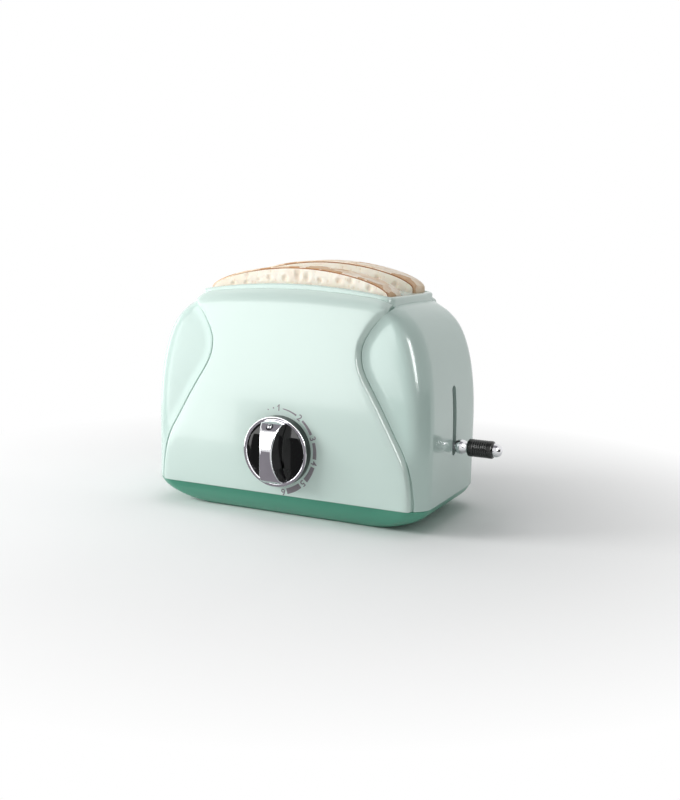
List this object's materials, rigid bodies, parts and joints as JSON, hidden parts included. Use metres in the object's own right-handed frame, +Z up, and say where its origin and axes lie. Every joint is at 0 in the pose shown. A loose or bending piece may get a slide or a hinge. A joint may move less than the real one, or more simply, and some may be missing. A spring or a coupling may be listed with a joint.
{
  "type": "toy toaster",
  "caption": "Toy pop-up toaster: rounded mint shell with a wavy seam, slots with play bread slices, side lever, chrome timer knob and clockwork inside.",
  "frame": {"origin": "centre of the flat underside of the base tray", "axes": "+Z up; the dial faces -Y; +X towards the lever end, the longest side"},
  "size_m": [0.2182, 0.118, 0.1559],
  "materials": {
    "mint_shell": "glossy moulded plastic",
    "green_base": "glossy moulded plastic",
    "chrome_trim": "polished",
    "black_gloss": "glossy",
    "steel_parts": "plain",
    "white_inner": "satin",
    "bread_toy": "satin with brown sides",
    "brass_works": "plain"
  },
  "bodies": {
    "housing": {"front_panel": "mint_shell", "back_panel": "mint_shell", "left_end_cap": "mint_shell", "right_end_cap": "mint_shell", "slot_rim": "mint_shell", "base_tray": "green_base", "base_screw_1": "steel_parts", "base_screw_2": "steel_parts", "base_screw_3": "steel_parts", "base_screw_4": "steel_parts", "inner_frame": "white_inner", "bread_cage_front": "white_inner", "bread_cage_back": "white_inner", "guide_rod_left": "steel_parts", "guide_rod_right": "steel_parts", "rod_bridge": "white_inner", "lift_spring_left": "steel_parts", "lift_spring_right": "steel_parts", "timer_front_plate": "steel_parts", "timer_back_plate": "steel_parts", "timer_pillar_1": "brass_works", "timer_pillar_2": "brass_works", "timer_pillar_3": "brass_works", "timer_pillar_4": "brass_works", "mainspring": "steel_parts", "latch_post": "brass_works", "latch_spring": "steel_parts"},
    "carriage": {"carriage": "white_inner", "lever_stem": "steel_parts", "lever_neck": "chrome_trim", "lever_grip": "black_gloss", "lever_tip": "chrome_trim", "catch_plate": "steel_parts"},
    "slice_front": {"bread_slice_front": "bread_toy"},
    "slice_back": {"bread_slice_back": "bread_toy"},
    "knob": {"knob": "chrome_trim", "knob_inlay_left": "black_gloss", "knob_inlay_right": "black_gloss", "knob_pointer": "steel_parts", "winding_arbor": "steel_parts", "main_wheel": "brass_works", "release_cam": "white_inner"},
    "second_wheel": {"second_wheel": "white_inner"},
    "third_wheel": {"third_wheel": "white_inner"},
    "escape_wheel": {"escape_wheel": "brass_works"},
    "anchor": {"anchor": "steel_parts"},
    "latch": {"latch_lever": "steel_parts", "latch_pin": "steel_parts"}
  },
  "joints": [
    {"name": "carriage_slide", "type": "slide", "parent": "housing", "child": "carriage", "axis": [0, 0, 1], "range_m": [0, 0.03], "deforming": ["lift_spring_left", "lift_spring_right"]},
    {"name": "slice_front_lift", "type": "slide", "parent": "carriage", "child": "slice_front", "axis": [0, 0, 1], "range_m": [0, 0.12]},
    {"name": "slice_back_lift", "type": "slide", "parent": "carriage", "child": "slice_back", "axis": [0, 0, 1], "range_m": [0, 0.12]},
    {"name": "knob_turn", "type": "hinge", "parent": "housing", "child": "knob", "pos_m": [0, -0.056, 0.043], "axis": [0, 1, 0], "range_deg": [0, 168], "stiffness_Nm_per_rad": 0.004},
    {"name": "second_wheel_turn", "type": "hinge", "parent": "housing", "child": "second_wheel", "pos_m": [0.00981, -0.0405, 0.06145], "axis": [0, 1, 0], "range_deg": [-504, 0]},
    {"name": "third_wheel_turn", "type": "hinge", "parent": "housing", "child": "third_wheel", "pos_m": [0.02532, -0.0405, 0.0671], "axis": [0, 1, 0], "range_deg": [0, 1512]},
    {"name": "escape_wheel_turn", "type": "hinge", "parent": "housing", "child": "escape_wheel", "pos_m": [0.03566, -0.0405, 0.05902], "axis": [0, 1, 0], "range_deg": [-3300, 0]},
    {"name": "anchor_rock", "type": "hinge", "parent": "housing", "child": "anchor", "pos_m": [0.03566, -0.0405, 0.04642], "axis": [0, 1, 0], "range_deg": [-4, 4]},
    {"name": "latch_swing", "type": "hinge", "parent": "housing", "child": "latch", "pos_m": [-0.02, -0.0444, 0.06], "axis": [0, 1, 0], "range_deg": [-6, 0]}
  ],
  "couplings": [
    {"joint": "second_wheel_turn", "follows": "knob_turn", "ratio": -3},
    {"joint": "third_wheel_turn", "follows": "knob_turn", "ratio": 9},
    {"joint": "escape_wheel_turn", "follows": "knob_turn", "ratio": -19.636},
    {"joint": "latch_swing", "follows": "knob_turn", "ratio": -0.0357}
  ]
}
